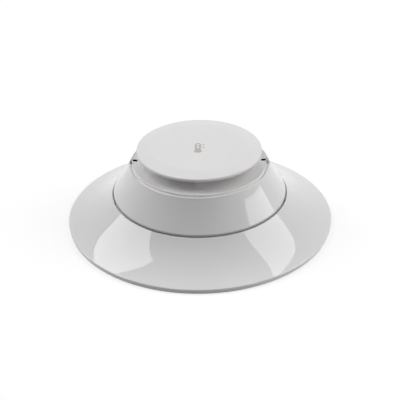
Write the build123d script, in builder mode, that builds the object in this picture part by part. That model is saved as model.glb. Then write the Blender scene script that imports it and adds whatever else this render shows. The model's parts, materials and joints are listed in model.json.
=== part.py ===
from build123d import *
import math
import os

# Ceiling heat detector: a plug-in detector head on a mounting base, with a wide trim skirt.
# Millimetres. The origin is the centre of the mounting face, the side that lies against the
# ceiling, and +Z points from that face towards the sensing cap, into the room.

# ---------------------------------------------------------------- driving dimensions
# trim skirt
skirt_radius = 86.45        # outer edge of the rim
skirt_rim_height = 2.8      # height of the rim's outer edge
skirt_rim_draft = 0.45      # the rim is this much smaller at the ceiling
skirt_rim_round = 0.7
skirt_lap = 2.1             # how far the skirt's inner edge stands above the base
skirt_opening_round = 0.15
skirt_sagitta = 2.6         # how far the flared face hangs below a straight cone
skirt_wall = 2.0
skirt_collar_wall = 1.6
skirt_rib_count = 8
skirt_rib_width = 1.6

# mounting base
base_radius = 55.9
base_height = 18.6
base_wall = 2.0
base_floor = 2.5
skirt_clearance = 0.85      # seam between the skirt's opening and the base and head
cable_radius = 20.0         # cable opening
cable_collar_wall = 2.0
cable_collar_height = 5.5
wide_slot_spacing = 86.1    # screw slots on X, for 83 to 89 mm boxes
wide_slot_length = 8.4
narrow_slot_spacing = 56.0  # screw slots on Y, for 52 to 60 mm boxes
narrow_slot_length = 9.0
screw_slot_radius = 2.3     # half the width of every screw slot

# bayonet, three places
bayonet_count = 3
bayonet_flange_depth = 3.3  # how far the base's flange reaches inwards
bayonet_flange_bottom = 13.5
bayonet_flange_top = 15.5
lug_angle = 14.0            # arc of one lug on the head
lug_start = 0.5             # where a lug starts when the head is locked
lug_height = 2.6
lug_clearance = 0.3         # lug to flange, along Z
lug_radial_clearance = 0.5
twist_angle = 18.0          # turn from locked to free
stop_clearance = 0.3        # degrees, lug to stop at either end
stop_angle = 3.0

# skirt snap lugs
snap_count = 4
snap_first_angle = 45.0
snap_width = 8.0
snap_height = 2.0
snap_bottom = 5.0
snap_pocket_depth = 1.0
snap_clearance = 0.3

# terminals and contacts, four places
contact_count = 4
contact_first_angle = 45.0
contact_inner = 34.0        # radius of the blade's upright leg, inner face
contact_arc = 12.0          # arc of one clip
blade_arc = 10.0
sheet = 0.5                 # clip sheet metal
blade_thickness = 0.8
blade_reach = 7.5           # radial length of the blade's foot
contact_gap = 0.3           # foot to each leaf of the clip
clip_leaf_reach = 6.5       # radial length of the clip's upper leaf
terminal_pad_height = 1.1
terminal_angle = 22.0       # terminal screw, behind its clip
terminal_tail = 7.0         # strip past the screw, degrees
clamp_size = 7.0
clamp_thickness = 0.8
terminal_screw_radius = 1.6
terminal_head_radius = 3.1
terminal_head_height = 2.2
thread_clearance = 0.05

# detector head, lower housing
split_gap = 0.5             # running gap between base and head
housing_bottom = 9.4
housing_floor = 1.8
housing_radius = 49.6
housing_wall = 1.8
flange_height = 1.8
cover_fit = 0.2             # flange inside the cover
slot_fit = 0.05             # blade in the floor's slot

# cover screws, three places
cover_screw_count = 3
cover_screw_first_angle = 90.0
cover_screw_circle = 26.0
cover_screw_radius = 1.4
cover_screw_clearance = 0.2
cover_screw_head_radius = 2.9
cover_screw_head_height = 1.9
cover_screw_length = 16.0
standoff_radius = 4.2
counterbore_radius = 3.2
counterbore_depth = 2.6

# circuit board
board_radius = 46.6
board_bottom = 14.8
board_thickness = 1.6

# cover
cover_wall = 2.1
cover_edge_round = 3.0      # height of the rounded lower edge
cover_edge_set_in = 1.3     # the foot of that round lies this far inside the widest radius
cover_foot_wall = 0.5       # thin foot that drops over the lower housing's flange
cone_sagitta = 0.35
boss_radius = 3.4
ring_radius = 44.3          # crest of the rolled ring
ring_height = 41.3
ring_roll = 0.7
groove_height = 40.7        # floor of the groove inside the ring
groove_width = 0.7
lip_height = 42.45
lip_round = 0.35
throat_mid_inset = 9.0      # the chamber's floor falls gently from the lip to here
throat_mid_drop = 0.8
throat_radius = 24.0
throat_drop = 1.6           # centre of the chamber's floor, below the lip
nozzle_radius = 6.2         # collar round the sensor's opening
nozzle_rise = 2.0
nozzle_bore = 4.2
post_count = 4
post_inset = 12.6           # outer face of a post, inside the cap's edge
post_length = 7.5
post_width = 5.4
post_hole_depth = 4.0
post_foot_length = 7.5      # low rib that runs out from the foot of each post
post_foot_rise = 0.35

# side slots with light pipes, left and right
light_slot_width = 2.3
light_slot_offset = 1.1     # its centre, from the X axis
light_slot_inner = 40.0
light_slot_depth = 4.6      # below the lip
light_notch_width = 6.0
light_notch_offset = 1.5
light_notch_depth = 1.7     # below the ring's crest
light_notch_step = 0.25     # from the lip's outer face to the notch
pipe_inset = 1.7            # inner face of a pipe, inside the ring's outer face
pipe_depth = 1.7
pipe_width = 1.4
pipe_offset = 1.7
pipe_drop = 0.2             # tip, below the crest
pipe_fit = 0.1
led_radius = 1.5
led_height = 3.4

# sensing cap
cap_radius = 40.1
cap_edge_bottom = 49.7
cap_edge_top = 51.6
cap_edge_round = 0.7
cap_face_inset = 9.1        # width of the sloping border round the flat face
cap_top = 52.5
cap_plate_bottom = 50.4
cap_rim_width = 2.4
peg_radius = 1.5
peg_length = 3.4
peg_fit = 0.05

# thermistor
bead_radius = 1.8
bead_gap = 1.3              # bead above the collar
bead_height = 3.8
lead_radius = 0.3
lead_spacing = 2.2
lead_fit = 0.05
seal_height = 3.0
seal_recess = 0.9

# pictogram on the cap: a thermometer with two ticks
mark_depth = 0.3
mark_tube_width = 3.9
mark_tube_top = 5.1
mark_tube_bottom = -5.0
mark_bulb_width = 5.2
mark_bulb_height = 4.2
mark_centre_x = -0.7
mark_hole_width = 1.7
mark_hole_height = 2.3
mark_hole_heights = (2.6, -0.7)
mark_tick_width = 1.3
mark_tick_height = 0.5
mark_tick_x = 2.75

# rating label
label_width = 30.0
label_depth = 18.0
label_thickness = 0.2

# parts on the circuit board: name, centre x, centre y, length, width, height
board_blocks = (
    ("microcontroller", -14.0, 11.0, 12.0, 12.0, 1.4),
    ("inductor", 6.0, -25.0, 9.0, 9.0, 5.0),
    ("rectifier", -11.0, -29.0, 6.5, 5.0, 2.4),
    ("crystal", 17.0, -1.0, 4.6, 11.0, 3.6),
)
# upright capacitors: name, centre x, centre y, radius, height
board_cans = (
    ("capacitor_large", 20.0, 20.0, 4.0, 9.0),
    ("capacitor_small", -30.0, 8.0, 3.0, 6.0),
)
board_block_round = 0.4

# ---------------------------------------------------------------- derived sizes
opening_radius = base_radius + skirt_clearance
skirt_height = base_height + skirt_lap
base_inner_radius = base_radius - base_wall
bayonet_radius = base_inner_radius - bayonet_flange_depth
bayonet_pitch = 360 / bayonet_count
lug_radius = base_inner_radius - lug_radial_clearance
lug_top = bayonet_flange_bottom - lug_clearance
lock_stop_start = lug_start - stop_clearance - stop_angle
free_stop_start = lug_start + lug_angle + twist_angle + stop_clearance
head_bottom = base_height + split_gap
contact_pitch = 360 / contact_count
pad_top = base_floor + terminal_pad_height
lower_leaf_top = pad_top + sheet
foot_bottom = lower_leaf_top + contact_gap
foot_top = foot_bottom + blade_thickness
upper_leaf_bottom = foot_top + contact_gap
clip_top = upper_leaf_bottom + sheet
foot_outer = contact_inner + blade_reach
clip_outer = foot_outer + contact_gap + sheet
terminal_circle = (contact_inner + clip_outer) / 2
terminal_first_angle = contact_first_angle - terminal_angle
floor_top = housing_bottom + housing_floor
flange_top = head_bottom + flange_height
cover_foot_inner = base_radius - cover_edge_set_in - cover_foot_wall
board_top = board_bottom + board_thickness
edge_round_top = head_bottom + cover_edge_round
cone_top_radius = ring_radius + ring_roll
cone_top_height = ring_height - ring_roll
cone_run = base_radius - cone_top_radius
cone_rise = cone_top_height - edge_round_top
wall_across = cover_wall * math.hypot(cone_run, cone_rise) / cone_rise
counterbore_top = housing_bottom + counterbore_depth
groove_outer = ring_radius - ring_roll
lip_radius = groove_outer - groove_width
throat_mid_radius = lip_radius - throat_mid_inset
throat_mid_height = lip_height - throat_mid_drop
throat_height = lip_height - throat_drop
throat_underside = throat_height - cover_wall
nozzle_height = throat_height + nozzle_rise
light_slot_bottom = lip_height - light_slot_depth
light_notch_bottom = ring_height - light_notch_depth
pipe_inner = cone_top_radius - pipe_inset
pipe_top = ring_height - pipe_drop
post_outer = cap_radius - post_inset
peg_circle = post_outer - post_length / 2
cap_face_radius = cap_radius - cap_face_inset
seal_bottom = nozzle_height - seal_recess - seal_height
bead_bottom = nozzle_height + bead_gap
overlap = 0.5               # how far joined shapes of one piece run into each other

os.makedirs("parts", exist_ok=True)


def save(piece, name):
    """Label a finished sub-part and write it to its own file."""
    piece.label = name
    export_step(piece, f"parts/{name}.step")


def ring_section(inner, outer, bottom, top):
    """Rectangle in the radial section, for a ring about Z."""
    with Locations(((inner + outer) / 2, (bottom + top) / 2)):
        Rectangle(outer - inner, top - bottom)


def sector(inner, outer, bottom, top, start, arc):
    """Block bounded by two cylinders about Z, two heights and two angles."""
    with BuildPart() as block:
        with BuildSketch(Plane.XZ):
            ring_section(inner, outer, bottom, top)
        revolve(axis=Axis.Z, revolution_arc=arc)
    return block.part.rotate(Axis.Z, start)


# ---------------------------------------------------------------- trim skirt
# The flared face is one arc from the rim up to the opening, its centre above and outside it.
rim_top = Vector(skirt_radius, skirt_rim_height)
collar_top = Vector(opening_radius, skirt_height)
flare_chord = collar_top - rim_top
flare_radius = flare_chord.length ** 2 / (8 * skirt_sagitta) + skirt_sagitta / 2
flare_normal = Vector(flare_chord.Y, -flare_chord.X).normalized()
flare_centre = (rim_top + collar_top) / 2 + flare_normal * (flare_radius - skirt_sagitta)


def flare(radius, depth):
    """Height, at a radius, of the surface that lies this deep under the flared face."""
    reach = flare_radius + depth
    return flare_centre.Y - math.sqrt(reach ** 2 - (radius - flare_centre.X) ** 2)


def flare_arc(start_radius, end_radius, depth):
    """Arc in the radial section that follows the flared face at a depth."""
    radii = (start_radius, (start_radius + end_radius) / 2, end_radius)
    ThreePointArc(*[(radius, flare(radius, depth)) for radius in radii])


collar_outer = opening_radius + skirt_collar_wall
collar_bottom = snap_bottom - snap_height
rim_foot = skirt_radius - skirt_rim_draft
rim_inner = rim_foot - skirt_wall
rib_inner = collar_outer - overlap
rib_outer = rim_inner - 3.0
snap_tip = base_radius - snap_pocket_depth + snap_clearance

# stiffening rib under the flare
with BuildPart() as skirt_rib:
    with BuildSketch(Plane.XZ):
        Polygon(
            (rib_inner, collar_bottom + snap_height),
            (rib_inner, flare(rib_inner, skirt_wall) + overlap),
            (rib_outer, flare(rib_outer, skirt_wall) + overlap),
            (rib_outer, flare(rib_outer, skirt_wall) - overlap),
            align=None,
        )
    extrude(amount=skirt_rib_width / 2, both=True)

with BuildPart() as trim_skirt:
    with BuildSketch(Plane.XZ) as skirt_section:
        with BuildLine():
            flare_arc(skirt_radius, opening_radius, 0)
            Polyline(
                (opening_radius, skirt_height),
                (opening_radius, collar_bottom),
                (collar_outer, collar_bottom),
                (collar_outer, flare(collar_outer, skirt_wall)),
            )
            flare_arc(collar_outer, rim_inner, skirt_wall)
            Polyline(
                (rim_inner, flare(rim_inner, skirt_wall)),
                (rim_inner, 0),
                (rim_foot, 0),
                (skirt_radius, skirt_rim_height),
            )
        make_face()
        fillet(skirt_section.vertices().sort_by(Axis.X)[-1], skirt_rim_round)
    revolve(axis=Axis.Z)
    opening_edge = trim_skirt.edges().group_by(Axis.Z)[-1]
    fillet(opening_edge, skirt_opening_round)
    with PolarLocations(0, skirt_rib_count, 180 / skirt_rib_count):
        add(skirt_rib.part)
    # snap lugs on the inside of the collar
    snap_reach = opening_radius + overlap - snap_tip
    with PolarLocations(snap_tip + snap_reach / 2, snap_count, snap_first_angle):
        with Locations((0, 0, snap_bottom + snap_height / 2)):
            Box(snap_reach, snap_width, snap_height)
save(trim_skirt.part, "trim_skirt")

# ---------------------------------------------------------------- mounting base
# The flange that holds the head's lugs is open where a lug comes free at the end of the twist.
opening_margin = 1.0
bayonet_flange = sector(
    bayonet_radius,
    base_inner_radius + overlap,
    bayonet_flange_bottom,
    bayonet_flange_top,
    lug_start + twist_angle + lug_angle + opening_margin,
    bayonet_pitch - lug_angle - 2 * opening_margin,
)
stops = [
    sector(
        bayonet_radius,
        base_inner_radius + overlap,
        base_floor - overlap,
        bayonet_flange_bottom + overlap,
        start,
        stop_angle,
    )
    for start in (lock_stop_start, free_stop_start)
]
terminal_pad = sector(
    contact_inner - 1,
    clip_outer + 1,
    base_floor - overlap,
    pad_top,
    terminal_first_angle - terminal_tail - 1,
    terminal_angle + terminal_tail + contact_arc / 2 + 2,
)
screw_hole_bottom = 1.0

with BuildPart() as mounting_base:
    with BuildSketch(Plane.XZ):
        ring_section(cable_radius, base_radius, 0, base_floor)
        ring_section(base_inner_radius, base_radius, 0, base_height)
        ring_section(cable_radius, cable_radius + cable_collar_wall, 0, cable_collar_height)
    revolve(axis=Axis.Z)
    with PolarLocations(0, bayonet_count):
        add([bayonet_flange, *stops])
    with PolarLocations(0, contact_count):
        add(terminal_pad)
    # blind holes for the terminal screws
    with BuildSketch(Plane.XY.offset(pad_top)):
        with PolarLocations(terminal_circle, contact_count, terminal_first_angle):
            Circle(terminal_screw_radius + thread_clearance)
    extrude(amount=screw_hole_bottom - pad_top, mode=Mode.SUBTRACT)
    # slots for the box screws
    with BuildSketch(Plane.XY):
        with GridLocations(wide_slot_spacing, 0, 2, 1):
            SlotOverall(wide_slot_length, 2 * screw_slot_radius)
        with GridLocations(0, narrow_slot_spacing, 1, 2):
            SlotOverall(narrow_slot_length, 2 * screw_slot_radius, rotation=90)
    extrude(amount=pad_top, mode=Mode.SUBTRACT)
    # pockets for the skirt's snap lugs
    with PolarLocations(base_radius, snap_count, snap_first_angle):
        with Locations((0, 0, snap_bottom + snap_height / 2)):
            Box(
                2 * snap_pocket_depth,
                snap_width + 2 * snap_clearance,
                snap_height + 2 * snap_clearance,
                mode=Mode.SUBTRACT,
            )
save(mounting_base.part, "mounting_base")

# ---------------------------------------------------------------- contact clips
# A strip under the terminal screw that folds into a C round the head's contact blade.
clip_start = -contact_arc / 2
tail_arc = terminal_angle + terminal_tail + clip_start
clip_tail = sector(
    contact_inner,
    clip_outer,
    pad_top,
    lower_leaf_top,
    clip_start - tail_arc,
    tail_arc + contact_arc / 2,
)
clip_back = sector(clip_outer - sheet, clip_outer, pad_top, clip_top, clip_start, contact_arc)
clip_leaf = sector(
    clip_outer - clip_leaf_reach,
    clip_outer,
    upper_leaf_bottom,
    clip_top,
    clip_start,
    contact_arc,
)
clip_foot = sector(contact_inner, clip_outer, pad_top, lower_leaf_top, clip_start, contact_arc)

with BuildPart() as contact_clip:
    add([clip_foot, clip_back, clip_leaf, clip_tail])
    with BuildSketch(Plane.XY.offset(pad_top)):
        with PolarLocations(terminal_circle, 1, -terminal_angle):
            Circle(terminal_screw_radius + thread_clearance)
    extrude(amount=sheet, mode=Mode.SUBTRACT)

for index in range(contact_count):
    angle = contact_first_angle + index * contact_pitch
    save(contact_clip.part.rotate(Axis.Z, angle), f"contact_clip_{index + 1}")

# ---------------------------------------------------------------- wire clamp plates
clamp_top = lower_leaf_top + clamp_thickness

with BuildPart() as clamp_plate:
    with BuildSketch(Plane.XY.offset(lower_leaf_top)):
        with PolarLocations(terminal_circle, 1):
            RectangleRounded(clamp_size, clamp_size, clamp_size / 8)
            Circle(terminal_screw_radius + 2 * thread_clearance, mode=Mode.SUBTRACT)
    extrude(amount=clamp_thickness)

for index in range(contact_count):
    angle = terminal_first_angle + index * contact_pitch
    save(clamp_plate.part.rotate(Axis.Z, angle), f"clamp_plate_{index + 1}")

# ---------------------------------------------------------------- terminal screws
with BuildPart() as terminal_screws:
    with BuildSketch(Plane.XY.offset(screw_hole_bottom)):
        with PolarLocations(terminal_circle, contact_count, terminal_first_angle):
            Circle(terminal_screw_radius)
    extrude(amount=clamp_top - screw_hole_bottom)
    with BuildSketch(Plane.XY.offset(clamp_top)):
        with PolarLocations(terminal_circle, contact_count, terminal_first_angle):
            Circle(terminal_head_radius)
    extrude(amount=terminal_head_height)
    fillet(terminal_screws.edges().group_by(Axis.Z)[-1], terminal_head_height / 3)
    with BuildSketch(Plane.XY.offset(clamp_top + terminal_head_height)):
        with PolarLocations(terminal_circle, contact_count, terminal_first_angle):
            Rectangle(2 * terminal_head_radius, terminal_head_radius / 4)
            Rectangle(terminal_head_radius / 4, terminal_head_radius)
    extrude(amount=-terminal_head_height / 2, mode=Mode.SUBTRACT)
save(terminal_screws.part, "terminal_screws")

# ---------------------------------------------------------------- lower housing of the head
lug = sector(
    housing_radius - overlap,
    lug_radius,
    lug_top - lug_height,
    lug_top,
    lug_start,
    lug_angle,
)
slot_turn = 0.1             # extra arc at each end of a blade's slot
blade_slot = sector(
    contact_inner - slot_fit,
    contact_inner + blade_thickness + slot_fit,
    housing_bottom - 1,
    floor_top + 1,
    -blade_arc / 2 - slot_turn,
    blade_arc + 2 * slot_turn,
)

with BuildPart() as lower_housing:
    with BuildSketch(Plane.XZ):
        ring_section(0, housing_radius, housing_bottom, floor_top)
        ring_section(housing_radius - housing_wall, housing_radius, housing_bottom, flange_top)
        ring_section(housing_radius - overlap, cover_foot_inner - cover_fit, head_bottom, flange_top)
    revolve(axis=Axis.Z)
    with PolarLocations(0, bayonet_count):
        add(lug)
    with BuildSketch(Plane.XY.offset(floor_top - overlap)):
        with PolarLocations(cover_screw_circle, cover_screw_count, cover_screw_first_angle):
            Circle(standoff_radius)
    extrude(amount=board_bottom - floor_top + overlap)
    with BuildSketch(Plane.XY.offset(housing_bottom)):
        with PolarLocations(cover_screw_circle, cover_screw_count, cover_screw_first_angle):
            Circle(counterbore_radius)
    extrude(amount=counterbore_depth, mode=Mode.SUBTRACT)
    with BuildSketch(Plane.XY.offset(counterbore_top)):
        with PolarLocations(cover_screw_circle, cover_screw_count, cover_screw_first_angle):
            Circle(cover_screw_radius + cover_screw_clearance)
    extrude(amount=board_bottom - counterbore_top, mode=Mode.SUBTRACT)
    with PolarLocations(0, contact_count, contact_first_angle):
        add(blade_slot, mode=Mode.SUBTRACT)
save(lower_housing.part, "lower_housing")

# ---------------------------------------------------------------- contact blades
blade_leg = sector(
    contact_inner,
    contact_inner + blade_thickness,
    foot_bottom,
    board_bottom,
    -blade_arc / 2,
    blade_arc,
)
blade_foot = sector(contact_inner, foot_outer, foot_bottom, foot_top, -blade_arc / 2, blade_arc)

with BuildPart() as contact_blade:
    add([blade_leg, blade_foot])

for index in range(contact_count):
    angle = contact_first_angle + index * contact_pitch
    save(contact_blade.part.rotate(Axis.Z, angle), f"contact_blade_{index + 1}")

# ---------------------------------------------------------------- rating label, left blank
with BuildPart() as rating_label:
    with BuildSketch(Plane.XY.offset(housing_bottom - label_thickness)):
        RectangleRounded(label_width, label_depth, 1.5)
    extrude(amount=label_thickness)
save(rating_label.part, "rating_label")

# ---------------------------------------------------------------- circuit board
with BuildPart() as circuit_board:
    with BuildSketch(Plane.XY.offset(board_bottom)):
        Circle(board_radius)
        with PolarLocations(cover_screw_circle, cover_screw_count, cover_screw_first_angle):
            Circle(cover_screw_radius + cover_screw_clearance, mode=Mode.SUBTRACT)
    extrude(amount=board_thickness)
save(circuit_board.part, "circuit_board")

# ---------------------------------------------------------------- parts on the board
for name, centre_x, centre_y, length, width, height in board_blocks:
    with BuildPart() as board_block:
        with BuildSketch(Plane.XY.offset(board_top)):
            with Locations((centre_x, centre_y)):
                Rectangle(length, width)
        extrude(amount=height)
        fillet(board_block.edges().group_by(Axis.Z)[-1], board_block_round)
    save(board_block.part, name)

for name, centre_x, centre_y, radius, height in board_cans:
    with BuildPart() as board_can:
        with BuildSketch(Plane.XY.offset(board_top)):
            with Locations((centre_x, centre_y)):
                Circle(radius)
        extrude(amount=height)
        fillet(board_can.edges().group_by(Axis.Z)[-1], board_block_round)
    save(board_can.part, name)

# ---------------------------------------------------------------- indicator lamps and light pipes
pipe_radius = pipe_inner + pipe_depth / 2
led_top = board_top + led_height

for name, side in (("right", 1), ("left", -1)):
    with BuildPart() as led:
        with BuildSketch(Plane.XY.offset(board_top)):
            with Locations((side * pipe_radius, pipe_offset)):
                Circle(led_radius)
        extrude(amount=led_height)
        fillet(led.edges().group_by(Axis.Z)[-1], led_radius / 2)
    save(led.part, f"led_{name}")

    with BuildPart() as light_pipe:
        with BuildSketch(Plane.XY.offset(led_top + pipe_fit)):
            with Locations((side * pipe_radius, pipe_offset)):
                Rectangle(pipe_depth, pipe_width)
        extrude(amount=pipe_top - led_top - pipe_fit)
        fillet(light_pipe.edges().group_by(Axis.Z)[-1], pipe_width / 5)
    save(light_pipe.part, f"light_pipe_{name}")

# ---------------------------------------------------------------- cover
# Outer face, from the foot: rounded edge, cone, rolled ring, groove, lip and air chamber.
throat_top_radius = lip_radius - 2 * lip_round
cone_bow = Vector(-cone_rise, -cone_run).normalized() * cone_sagitta
cone_middle = Vector((base_radius + cone_top_radius) / 2, (edge_round_top + cone_top_height) / 2)
boss_top = throat_underside + overlap
cone_inner_top = cone_top_height - 0.9 * cover_wall
cone_inner_top_radius = cone_top_radius + cone_run / cone_rise * 0.9 * cover_wall - wall_across

with BuildPart() as head_cover:
    with BuildSketch(Plane.XZ):
        with BuildLine():
            Line((cover_foot_inner, head_bottom), (base_radius - cover_edge_set_in, head_bottom))
            ThreePointArc(
                (base_radius - cover_edge_set_in, head_bottom),
                (base_radius - 0.28 * cover_edge_set_in, head_bottom + 0.38 * cover_edge_round),
                (base_radius, edge_round_top),
            )
            ThreePointArc(
                (base_radius, edge_round_top),
                cone_middle + cone_bow,
                (cone_top_radius, cone_top_height),
            )
            ThreePointArc(
                (cone_top_radius, cone_top_height),
                (ring_radius, ring_height),
                (groove_outer, groove_height),
            )
            Polyline(
                (groove_outer, groove_height),
                (lip_radius, groove_height),
                (lip_radius, lip_height - lip_round),
            )
            ThreePointArc(
                (lip_radius, lip_height - lip_round),
                (lip_radius - lip_round, lip_height),
                (throat_top_radius, lip_height - lip_round / 3),
            )
            ThreePointArc(
                (throat_top_radius, lip_height - lip_round / 3),
                (throat_mid_radius, throat_mid_height),
                (throat_radius, throat_height),
            )
            Polyline(
                (throat_radius, throat_height),
                (nozzle_radius, throat_height),
                (nozzle_radius, nozzle_height),
                (nozzle_bore, nozzle_height),
                (nozzle_bore, throat_underside),
                (throat_radius, throat_underside),
                (throat_mid_radius, throat_mid_height - cover_wall),
                (throat_top_radius - 1, cone_inner_top + 0.6),
                (cone_inner_top_radius, cone_inner_top),
                (base_radius - wall_across, edge_round_top),
                (base_radius - wall_across, flange_top),
                (cover_foot_inner, flange_top),
                (cover_foot_inner, head_bottom),
            )
        make_face()
    revolve(axis=Axis.Z)
    # posts that carry the cap, each with a low rib at its foot
    with BuildSketch(Plane.XY.offset(throat_height - overlap)):
        with PolarLocations(peg_circle, post_count):
            Rectangle(post_length, post_width)
    extrude(amount=cap_plate_bottom - throat_height + overlap)
    with BuildSketch(Plane.XY.offset(throat_height - overlap)):
        with PolarLocations(post_outer + post_foot_length / 2, post_count):
            Rectangle(post_foot_length, post_width)
    extrude(amount=throat_mid_height - throat_height + post_foot_rise + overlap)
    with BuildSketch(Plane.XY.offset(cap_plate_bottom)):
        with PolarLocations(peg_circle, post_count):
            Circle(peg_radius + peg_fit)
    extrude(amount=-post_hole_depth, mode=Mode.SUBTRACT)
    # bosses for the cover screws
    with BuildSketch(Plane.XY.offset(board_top)):
        with PolarLocations(cover_screw_circle, cover_screw_count, cover_screw_first_angle):
            Circle(boss_radius)
    extrude(amount=boss_top - board_top)
    with BuildSketch(Plane.XY.offset(board_top)):
        with PolarLocations(cover_screw_circle, cover_screw_count, cover_screw_first_angle):
            Circle(cover_screw_radius + thread_clearance)
    extrude(amount=counterbore_top + cover_screw_length + 1 - board_top, mode=Mode.SUBTRACT)
    # side slots through the lip, and the notches in the ring that hold the light pipes
    slot_length = lip_radius - light_slot_inner + overlap
    slot_middle = light_slot_inner + slot_length / 2
    notch_length = base_radius - lip_radius - light_notch_step
    notch_middle = base_radius - notch_length / 2
    with BuildSketch(Plane.XY.offset(light_slot_bottom)):
        with Locations((slot_middle, light_slot_offset), (-slot_middle, light_slot_offset)):
            Rectangle(slot_length, light_slot_width)
    extrude(amount=lip_height + 1 - light_slot_bottom, mode=Mode.SUBTRACT)
    with BuildSketch(Plane.XY.offset(light_notch_bottom)):
        with Locations((notch_middle, light_notch_offset), (-notch_middle, light_notch_offset)):
            Rectangle(notch_length, light_notch_width)
    extrude(amount=lip_height + 1 - light_notch_bottom, mode=Mode.SUBTRACT)
    with BuildSketch(Plane.XY.offset(led_top)):
        with Locations((pipe_radius, pipe_offset), (-pipe_radius, pipe_offset)):
            Rectangle(pipe_depth + 2 * pipe_fit, pipe_width + 2 * pipe_fit)
    extrude(amount=lip_height - led_top, mode=Mode.SUBTRACT)
save(head_cover.part, "head_cover")

# ---------------------------------------------------------------- cover screws
with BuildPart() as cover_screws:
    with BuildSketch(Plane.XY.offset(counterbore_top)):
        with PolarLocations(cover_screw_circle, cover_screw_count, cover_screw_first_angle):
            Circle(cover_screw_radius)
    extrude(amount=cover_screw_length)
    with BuildSketch(Plane.XY.offset(counterbore_top)):
        with PolarLocations(cover_screw_circle, cover_screw_count, cover_screw_first_angle):
            Circle(cover_screw_head_radius)
    extrude(amount=-cover_screw_head_height)
    fillet(cover_screws.edges().group_by(Axis.Z)[0], cover_screw_head_height / 3)
    with BuildSketch(Plane.XY.offset(counterbore_top - cover_screw_head_height)):
        with PolarLocations(cover_screw_circle, cover_screw_count, cover_screw_first_angle):
            Rectangle(cover_screw_head_radius, cover_screw_head_radius / 4)
            Rectangle(cover_screw_head_radius / 4, cover_screw_head_radius)
    extrude(amount=cover_screw_head_height / 2, mode=Mode.SUBTRACT)
save(cover_screws.part, "cover_screws")

# ---------------------------------------------------------------- thermistor, leads and seal
seal_radius = nozzle_bore - lead_fit

with BuildPart() as sensor_seal:
    with BuildSketch(Plane.XY.offset(seal_bottom)):
        Circle(seal_radius)
        with GridLocations(lead_spacing, 0, 2, 1):
            Circle(lead_radius + lead_fit, mode=Mode.SUBTRACT)
    extrude(amount=seal_height)
save(sensor_seal.part, "sensor_seal")

with BuildPart() as thermistor_leads:
    with BuildSketch(Plane.XY.offset(board_top)):
        with GridLocations(lead_spacing, 0, 2, 1):
            Circle(lead_radius)
    extrude(amount=bead_bottom - board_top)
save(thermistor_leads.part, "thermistor_leads")

with BuildPart() as thermistor_bead:
    with BuildSketch(Plane.XY.offset(bead_bottom)):
        Circle(bead_radius)
    extrude(amount=bead_height)
    fillet(thermistor_bead.edges().group_by(Axis.Z)[-1], 0.6 * bead_radius)
    fillet(thermistor_bead.edges().group_by(Axis.Z)[0], 0.1 * bead_radius)
save(thermistor_bead.part, "thermistor_bead")

# ---------------------------------------------------------------- sensing cap
rim_inner_radius = cap_radius - cap_rim_width
mark_tube_middle = (mark_tube_top + mark_tube_bottom) / 2
mark_bulb_y = mark_tube_bottom - mark_bulb_height / 8

with BuildSketch(Plane.XY.offset(cap_top)) as mark:
    with Locations((mark_centre_x, mark_tube_middle)):
        SlotOverall(mark_tube_top - mark_tube_bottom, mark_tube_width, rotation=90)
    with Locations((mark_centre_x, mark_bulb_y)):
        Ellipse(mark_bulb_width / 2, mark_bulb_height / 2)
    with Locations(*[(mark_centre_x, height) for height in mark_hole_heights]):
        Ellipse(mark_hole_width / 2, mark_hole_height / 2, mode=Mode.SUBTRACT)
    with Locations(*[(mark_tick_x, height) for height in mark_hole_heights]):
        Rectangle(mark_tick_width, mark_tick_height)

with BuildPart() as sensing_cap:
    with BuildSketch(Plane.XZ) as cap_section:
        with BuildLine():
            Polyline(
                (0, cap_plate_bottom),
                (0, cap_top),
                (cap_face_radius, cap_top),
                (cap_radius, cap_edge_top),
                (cap_radius, cap_edge_bottom),
                (rim_inner_radius, cap_edge_bottom),
                (rim_inner_radius, cap_plate_bottom),
                (0, cap_plate_bottom),
            )
        make_face()
        fillet(cap_section.vertices().group_by(Axis.X)[-1], cap_edge_round)
    revolve(axis=Axis.Z)
    with BuildSketch(Plane.XY.offset(cap_plate_bottom)):
        with PolarLocations(peg_circle, post_count):
            Circle(peg_radius)
    extrude(amount=-peg_length)
    extrude(mark.sketch, amount=-mark_depth, mode=Mode.SUBTRACT)
save(sensing_cap.part, "sensing_cap")

# ---------------------------------------------------------------- pictogram inlay
with BuildPart() as cap_pictogram:
    extrude(mark.sketch, amount=-mark_depth)
save(cap_pictogram.part, "cap_pictogram")
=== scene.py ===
import json
import math

import bpy
from mathutils import Matrix, Vector

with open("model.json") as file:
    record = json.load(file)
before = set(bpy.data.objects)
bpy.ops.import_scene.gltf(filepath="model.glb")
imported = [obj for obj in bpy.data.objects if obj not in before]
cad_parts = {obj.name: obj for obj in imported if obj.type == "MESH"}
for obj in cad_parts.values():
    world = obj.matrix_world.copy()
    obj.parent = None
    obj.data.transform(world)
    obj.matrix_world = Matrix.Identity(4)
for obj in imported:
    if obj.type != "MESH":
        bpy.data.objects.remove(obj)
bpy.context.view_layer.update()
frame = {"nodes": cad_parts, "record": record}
nodes = frame["nodes"]

MM = 0.001

# ---------------------------------------------------------------- camera, lights and surroundings
VIEW_ELEVATION = math.radians(32.15)
VIEW_TURN = math.radians(0.8)
VIEW_DISTANCE = 700 * MM
VIEW_AIM = Vector((0.13, 0, 12.9)) * MM
VIEW_ROLL = math.radians(-0.8)
LENS = 94.97
SENSOR = 36.0

FRONT_LIGHT = 0.21
BACK_LIGHT = 0.25
SOFTBOX_DISTANCE = 1.6
LEFT_STRENGTH = 3.8
RIGHT_STRENGTH = 3.45

FLOOR_HALF = 3.0
FLOOR_DROP = 0.05 * MM
FLOOR_COLOUR = (0.46, 0.46, 0.46, 1)
FLOOR_LIFT = 0.62

WHITE = (1, 1, 1, 1)


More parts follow.
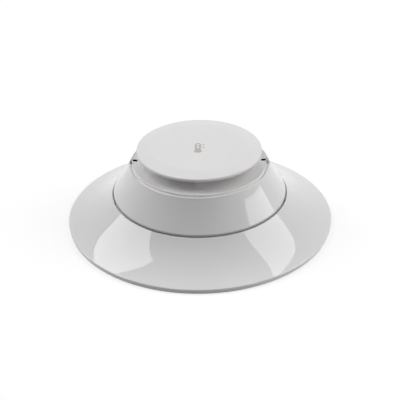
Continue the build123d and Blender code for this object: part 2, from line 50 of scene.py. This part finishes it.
def make_camera():
    """The camera looks along +Y from above and very slightly from the right, with a long lens."""
    data = bpy.data.cameras.new("camera")
    data.sensor_width = SENSOR
    data.lens = LENS
    data.clip_start = 0.01
    data.clip_end = 50
    camera = bpy.data.objects.new("camera", data)
    bpy.context.collection.objects.link(camera)
    level_reach = math.cos(VIEW_ELEVATION)
    direction = (
        math.sin(VIEW_TURN) * level_reach,
        -math.cos(VIEW_TURN) * level_reach,
        math.sin(VIEW_ELEVATION),
    )
    place = Vector(direction) * VIEW_DISTANCE
    forward = (VIEW_AIM - place).normalized()
    right = forward.cross(Vector((0, 0, 1))).normalized()
    up = right.cross(forward)
    level = Matrix((right, up, -forward)).transposed().to_4x4()
    camera.matrix_world = Matrix.Translation(place) @ level @ Matrix.Rotation(VIEW_ROLL, 4, "Z")
    bpy.context.scene.camera = camera


def math_node(tree, operation, first, second=None):
    """One arithmetic step on one or two node outputs."""
    node = tree.nodes.new("ShaderNodeMath")
    node.operation = operation
    tree.links.new(first, node.inputs[0])
    if second is not None:
        tree.links.new(second, node.inputs[1])
    return node.outputs[0]


def emission_material(name, strength):
    material = bpy.data.materials.new(name)
    material.use_nodes = True
    tree = material.node_tree
    tree.nodes.clear()
    output = tree.nodes.new("ShaderNodeOutputMaterial")
    emission = tree.nodes.new("ShaderNodeEmission")
    emission.inputs["Color"].default_value = WHITE
    emission.inputs["Strength"].default_value = strength
    tree.links.new(emission.outputs[0], output.inputs["Surface"])
    return material


def softbox(name, aim, corners, distance, strength):
    """A flat lit panel square to the direction aim; corners are its outline, per unit of distance."""
    aim = Vector(aim).normalized()
    across = Vector((0, 0, 1)).cross(aim).normalized()
    up = aim.cross(across)
    points = [(aim + across * x + up * y) * distance for x, y in corners]
    mesh = bpy.data.meshes.new(name)
    mesh.from_pydata(points, [], [tuple(range(len(points)))])
    panel = bpy.data.objects.new(name, mesh)
    bpy.context.collection.objects.link(panel)
    mesh.materials.append(emission_material(name, strength))
    panel.visible_camera = False


def seen_directly(tree):
    """A value that is 1 for camera, glossy and transmission rays, and 0 for the rest."""
    path = tree.nodes.new("ShaderNodeLightPath")
    mirrored = math_node(
        tree, "MAXIMUM", path.outputs["Is Camera Ray"], path.outputs["Is Glossy Ray"]
    )
    return math_node(tree, "MAXIMUM", mirrored, path.outputs["Is Transmission Ray"])


def axis_light(tree, coordinate, low_end, strength):
    """Light that grows from nothing at the middle to its strength at one end of an axis."""
    node = tree.nodes.new("ShaderNodeMapRange")
    node.inputs["From Min"].default_value = 0
    node.inputs["From Max"].default_value = -1 if low_end else 1
    node.inputs["To Min"].default_value = 0
    node.inputs["To Max"].default_value = strength
    node.clamp = True
    tree.links.new(coordinate, node.inputs["Value"])
    return node.outputs["Result"]


def make_world(front, back):
    """Soft light that grows towards the front and the back, seen as plain white."""
    world = bpy.data.worlds.new("studio")
    bpy.context.scene.world = world
    world.use_nodes = True
    tree = world.node_tree
    tree.nodes.clear()
    output = tree.nodes.new("ShaderNodeOutputWorld")
    place = tree.nodes.new("ShaderNodeTexCoord")
    axes = tree.nodes.new("ShaderNodeSeparateXYZ")
    tree.links.new(place.outputs["Generated"], axes.inputs[0])
    both = math_node(
        tree,
        "ADD",
        axis_light(tree, axes.outputs["Y"], True, front),
        axis_light(tree, axes.outputs["Y"], False, back),
    )
    light = tree.nodes.new("ShaderNodeBackground")
    light.inputs["Color"].default_value = WHITE
    tree.links.new(both, light.inputs["Strength"])
    white = tree.nodes.new("ShaderNodeBackground")
    white.inputs["Color"].default_value = WHITE
    white.inputs["Strength"].default_value = 1.0
    mix = tree.nodes.new("ShaderNodeMixShader")
    tree.links.new(seen_directly(tree), mix.inputs["Fac"])
    tree.links.new(light.outputs[0], mix.inputs[1])
    tree.links.new(white.outputs[0], mix.inputs[2])
    tree.links.new(mix.outputs[0], output.inputs["Surface"])


def make_floor(lift):
    """Pale floor: its own light brings it to white where no shadow falls."""
    half = FLOOR_HALF
    level = -FLOOR_DROP
    mesh = bpy.data.meshes.new("floor")
    mesh.from_pydata(
        [(-half, -half, level), (half, -half, level), (half, half, level), (-half, half, level)],
        [],
        [(0, 1, 2, 3)],
    )
    floor = bpy.data.objects.new("floor", mesh)
    bpy.context.collection.objects.link(floor)
    material = bpy.data.materials.new("floor")
    material.use_nodes = True
    tree = material.node_tree
    tree.nodes.clear()
    output = tree.nodes.new("ShaderNodeOutputMaterial")
    diffuse = tree.nodes.new("ShaderNodeBsdfDiffuse")
    diffuse.inputs["Color"].default_value = FLOOR_COLOUR
    glow = tree.nodes.new("ShaderNodeEmission")
    glow.inputs["Color"].default_value = WHITE
    strength = tree.nodes.new("ShaderNodeMath")
    strength.operation = "MULTIPLY"
    strength.inputs[1].default_value = lift
    tree.links.new(seen_directly(tree), strength.inputs[0])
    tree.links.new(strength.outputs[0], glow.inputs["Strength"])
    add = tree.nodes.new("ShaderNodeAddShader")
    tree.links.new(diffuse.outputs[0], add.inputs[0])
    tree.links.new(glow.outputs[0], add.inputs[1])
    tree.links.new(add.outputs[0], output.inputs["Surface"])
    mesh.materials.append(material)


make_camera()
make_world(FRONT_LIGHT, BACK_LIGHT)
make_floor(FLOOR_LIFT)
softbox(
    "softbox_left",
    (-0.58, 0.27, 0.77),
    [(-0.40, 0.08), (0.21, 0.32), (0.78, -0.08), (0.08, -0.68)],
    SOFTBOX_DISTANCE,
    LEFT_STRENGTH,
)
softbox(
    "softbox_right",
    (0.62, 0.25, 0.74),
    [(0.33, 0.27), (-0.72, 0.12), (-0.97, -0.46), (-0.20, -0.92)],
    SOFTBOX_DISTANCE,
    RIGHT_STRENGTH,
)
bpy.context.scene.view_settings.view_transform = "Standard"

# ---------------------------------------------------------------- materials
# Places on the head cover and on the printed mark, from the object's axes.
CHAMBER_RADIUS = 42.4 * MM
CONE_RADIUS = 44.6 * MM
SLOT_RADIUS = 41.6 * MM
SLOT_HALF_LENGTH = 1.7 * MM
SLOT_OFFSET = 1.1 * MM
SLOT_HALF_WIDTH = 1.25 * MM
TICKS_FROM = 1.95 * MM
TICKS_BLEND = 0.1 * MM

# Painted light: the air chamber and its ring are coloured whiter, standing in for light that reaches
# under the cap.
CHAMBER_PAINTED_LIGHT = (0.925, 0.92, 0.91)
# Painted shade: the light slots are coloured near black where shade falls inside them.
SLOT_PAINTED_SHADE = (0.02, 0.02, 0.02)
TICK_INK = (0.10, 0.10, 0.10)


def shader_of(tree):
    return next(node for node in tree.nodes if node.type == "BSDF_PRINCIPLED")


def new_material(name):
    material = bpy.data.materials.new(name)
    material.use_nodes = True
    return material, material.node_tree, shader_of(material.node_tree)


def object_axes(tree):
    """The X, Y and Z outputs of a place on the object."""
    place = tree.nodes.new("ShaderNodeTexCoord")
    axes = tree.nodes.new("ShaderNodeSeparateXYZ")
    tree.links.new(place.outputs["Object"], axes.inputs[0])
    return axes.outputs


def object_noise(tree, scale, detail=4.0, roughness=0.5, stretch=(1, 1, 1)):
    """Noise fixed to the object, in cells per metre."""
    place = tree.nodes.new("ShaderNodeTexCoord")
    mapping = tree.nodes.new("ShaderNodeMapping")
    mapping.inputs["Scale"].default_value = stretch
    tree.links.new(place.outputs["Object"], mapping.inputs["Vector"])
    noise = tree.nodes.new("ShaderNodeTexNoise")
    noise.inputs["Scale"].default_value = scale
    noise.inputs["Detail"].default_value = detail
    noise.inputs["Roughness"].default_value = roughness
    tree.links.new(mapping.outputs["Vector"], noise.inputs["Vector"])
    return noise.outputs["Fac"]


def spread(tree, value, low, high, start=0.3, end=0.7):
    """Maps a value from one range to another."""
    node = tree.nodes.new("ShaderNodeMapRange")
    node.inputs["From Min"].default_value = start
    node.inputs["From Max"].default_value = end
    node.inputs["To Min"].default_value = low
    node.inputs["To Max"].default_value = high
    tree.links.new(value, node.inputs["Value"])
    return node.outputs["Result"]


def mix_colour(tree, factor, first, second):
    """Blend of two colours; either may be a colour or another node's output."""
    node = tree.nodes.new("ShaderNodeMix")
    node.data_type = "RGBA"
    tree.links.new(factor, node.inputs["Factor"])
    for socket, value in (("A", first), ("B", second)):
        target = next(item for item in node.inputs if item.name == socket and item.type == "RGBA")
        if isinstance(value, tuple):
            target.default_value = (*value, 1)
        else:
            tree.links.new(value, target)
    return next(item for item in node.outputs if item.type == "RGBA")


def add_bump(tree, shader, height, strength, distance):
    bump = tree.nodes.new("ShaderNodeBump")
    bump.inputs["Strength"].default_value = strength
    bump.inputs["Distance"].default_value = distance
    tree.links.new(height, bump.inputs["Height"])
    tree.links.new(bump.outputs["Normal"], shader.inputs["Normal"])


def moulded_plastic(name, colour, roughness, grain, grain_depth, ior=1.5):
    """Moulded plastic: a faint drift in colour, worn edges, darker colour in hollows and a mould's
    grain.
    """
    material, tree, shader = new_material(name)
    shader.inputs["IOR"].default_value = ior
    drift = spread(tree, object_noise(tree, 22, 3), 0, 1)
    dark = tuple(channel * 0.975 for channel in colour)
    base = mix_colour(tree, drift, colour, dark)
    edge = tree.nodes.new("ShaderNodeNewGeometry")
    worn = spread(tree, edge.outputs["Pointiness"], 0, 0.35, 0.53, 0.62)
    light = tuple(min(channel * 1.05, 0.95) for channel in colour)
    base = mix_colour(tree, worn, base, light)
    # Colour turns darker in hollows, where pointiness is low.
    hollow = spread(tree, edge.outputs["Pointiness"], 0.15, 0, 0.38, 0.47)
    hollow_dark = tuple(channel * factor for channel, factor in zip(colour, (0.86, 0.85, 0.82)))
    base = mix_colour(tree, hollow, base, hollow_dark)
    tree.links.new(base, shader.inputs["Base Color"])
    rough = spread(tree, object_noise(tree, 90, 5), roughness * 0.85, roughness * 1.2)
    tree.links.new(rough, shader.inputs["Roughness"])
    add_bump(tree, shader, object_noise(tree, grain, 3), 1.0, grain_depth)
    return material


def within(tree, value, middle, half):
    """1 where a value lies within half of a middle, else 0."""
    node = tree.nodes.new("ShaderNodeMath")
    node.operation = "COMPARE"
    tree.links.new(value, node.inputs[0])
    node.inputs[1].default_value = middle
    node.inputs[2].default_value = half
    return node.outputs[0]


def paint_cover_light_and_shade(material):
    """The air chamber and its ring are coloured whiter than the cone, as painted light; the light
    slots are coloured dark inside, as painted shade.
    """
    tree = material.node_tree
    shader = shader_of(tree)
    base = shader.inputs["Base Color"].links[0].from_socket
    axes = object_axes(tree)
    x_square = math_node(tree, "MULTIPLY", axes["X"], axes["X"])
    y_square = math_node(tree, "MULTIPLY", axes["Y"], axes["Y"])
    radius = math_node(tree, "SQRT", math_node(tree, "ADD", x_square, y_square))
    inside = spread(tree, radius, 1, 0, CHAMBER_RADIUS, CONE_RADIUS)
    # Painted light: whiter colour inside the ring.
    base = mix_colour(tree, inside, base, CHAMBER_PAINTED_LIGHT)
    # Painted shade: the light slots are coloured near black inside.
    across = within(tree, math_node(tree, "ABSOLUTE", axes["X"]), SLOT_RADIUS, SLOT_HALF_LENGTH)
    along = within(tree, axes["Y"], SLOT_OFFSET, SLOT_HALF_WIDTH)
    slot_shade_mask = math_node(tree, "MULTIPLY", across, along)
    base = mix_colour(tree, slot_shade_mask, base, SLOT_PAINTED_SHADE)
    tree.links.new(base, shader.inputs["Base Color"])


def darken_ticks(material):
    """The mark's two ticks are darker than its thermometer."""
    tree = material.node_tree
    shader = shader_of(tree)
    base = shader.inputs["Base Color"].links[0].from_socket
    ticks = spread(tree, object_axes(tree)["X"], 0, 1, TICKS_FROM, TICKS_FROM + TICKS_BLEND)
    base = mix_colour(tree, ticks, base, TICK_INK)
    tree.links.new(base, shader.inputs["Base Color"])


def metal(name, colour, roughness, streaks=900):
    """Plated or drawn metal: fine streaks, dull spots and brighter edges."""
    material, tree, shader = new_material(name)
    shader.inputs["Metallic"].default_value = 1.0
    tarnish = spread(tree, object_noise(tree, 260, 5), 0, 1)
    dull = tuple(channel * 0.72 for channel in colour)
    base = mix_colour(tree, tarnish, colour, dull)
    edge = tree.nodes.new("ShaderNodeNewGeometry")
    worn = spread(tree, edge.outputs["Pointiness"], 0, 0.6, 0.53, 0.6)
    base = mix_colour(tree, worn, base, tuple(min(channel * 1.25, 1.0) for channel in colour))
    tree.links.new(base, shader.inputs["Base Color"])
    grain = object_noise(tree, streaks, 4, 0.6, (1, 1, 0.1))
    rough = spread(tree, grain, roughness * 0.7, roughness * 1.4)
    tree.links.new(rough, shader.inputs["Roughness"])
    add_bump(tree, shader, grain, 0.3, 0.02 * MM)
    return material


def circuit_laminate(name):
    """Green solder mask with copper tracks just showing through and a grid of small pads."""
    material, tree, shader = new_material(name)
    place = tree.nodes.new("ShaderNodeTexCoord")
    tracks = tree.nodes.new("ShaderNodeTexBrick")
    tracks.inputs["Scale"].default_value = 260
    tracks.inputs["Mortar Size"].default_value = 0.06
    tracks.inputs["Color1"].default_value = (0, 0, 0, 1)
    tracks.inputs["Color2"].default_value = (0.05, 0.05, 0.05, 1)
    tracks.inputs["Mortar"].default_value = WHITE
    tree.links.new(place.outputs["Object"], tracks.inputs["Vector"])
    cloud = spread(tree, object_noise(tree, 60, 2), 0, 1, 0.48, 0.52)
    gate = tree.nodes.new("ShaderNodeMath")
    gate.operation = "MULTIPLY"
    tree.links.new(tracks.outputs["Color"], gate.inputs[0])
    tree.links.new(cloud, gate.inputs[1])
    base = mix_colour(tree, gate.outputs[0], (0.02, 0.13, 0.05), (0.06, 0.27, 0.10))
    tree.links.new(base, shader.inputs["Base Color"])
    rough = spread(tree, object_noise(tree, 200, 3), 0.25, 0.42)
    tree.links.new(rough, shader.inputs["Roughness"])
    add_bump(tree, shader, gate.outputs[0], 0.6, 0.03 * MM)
    return material


WHITE_PLASTIC = (0.805, 0.793, 0.80)
CAP_WHITE = (0.825, 0.812, 0.822)

finishes = {
    "skirt_plastic": moulded_plastic("skirt_gloss", WHITE_PLASTIC, 0.03, 500, 0.0008 * MM, 1.6),
    "cover_plastic": moulded_plastic("cover_gloss", WHITE_PLASTIC, 0.04, 500, 0.0008 * MM, 1.58),
    "cap_plastic": moulded_plastic("cap_satin", CAP_WHITE, 0.42, 2600, 0.012 * MM),
    "base_plastic": moulded_plastic("base_satin", (0.78, 0.78, 0.76), 0.38, 2200, 0.015 * MM),
    "contact_metal": metal("contact_brass", (0.83, 0.68, 0.38), 0.28),
    "plated_steel": metal("plated_steel", (0.68, 0.69, 0.72), 0.3),
    "board_laminate": circuit_laminate("board_mask"),
    "black_package": moulded_plastic("black_epoxy", (0.035, 0.035, 0.037), 0.45, 4000, 0.02 * MM),
    "capacitor_sleeve": moulded_plastic("can_sleeve", (0.03, 0.035, 0.06), 0.25, 900, 0.006 * MM),
    "bead_resin": moulded_plastic("bead_resin", (0.05, 0.05, 0.055), 0.3, 900, 0.02 * MM),
    "seal_rubber": moulded_plastic("seal_rubber", (0.04, 0.04, 0.04), 0.65, 3000, 0.03 * MM),
    "label_film": moulded_plastic("label_film", (0.80, 0.80, 0.79), 0.35, 1200, 0.004 * MM),
    "mark_ink": moulded_plastic("mark_ink", (0.50, 0.48, 0.45), 0.5, 2600, 0.01 * MM),
}


def led_resin():
    material, tree, shader = new_material("led_resin")
    shade = spread(tree, object_noise(tree, 500, 3), 0, 1)
    base = mix_colour(tree, shade, (0.55, 0.05, 0.04), (0.42, 0.03, 0.03))
    tree.links.new(base, shader.inputs["Base Color"])
    rough = spread(tree, object_noise(tree, 700, 3), 0.15, 0.3)
    tree.links.new(rough, shader.inputs["Roughness"])
    shader.inputs["Transmission Weight"].default_value = 0.3
    add_bump(tree, shader, object_noise(tree, 1500, 3), 0.4, 0.01 * MM)
    return material


def clear_plastic():
    material, tree, shader = new_material("clear_acrylic")
    shade = spread(tree, object_noise(tree, 300, 3), 0, 1)
    base = mix_colour(tree, shade, (0.75, 0.76, 0.76), (0.64, 0.65, 0.65))
    tree.links.new(base, shader.inputs["Base Color"])
    rough = spread(tree, object_noise(tree, 900, 3), 0.12, 0.3)
    tree.links.new(rough, shader.inputs["Roughness"])
    shader.inputs["IOR"].default_value = 1.49
    shader.inputs["Transmission Weight"].default_value = 0.55
    add_bump(tree, shader, object_noise(tree, 2000, 3), 0.4, 0.01 * MM)
    return material


paint_cover_light_and_shade(finishes["cover_plastic"])
darken_ticks(finishes["mark_ink"])
finishes["led_resin"] = led_resin()
finishes["clear_plastic"] = clear_plastic()

for subpart in frame["record"]["subparts"]:
    node = nodes[subpart["node"]]
    material = finishes[subpart["material_slot"]]
    if not node.material_slots:
        node.data.materials.append(material)
    for slot in node.material_slots:
        slot.material = material
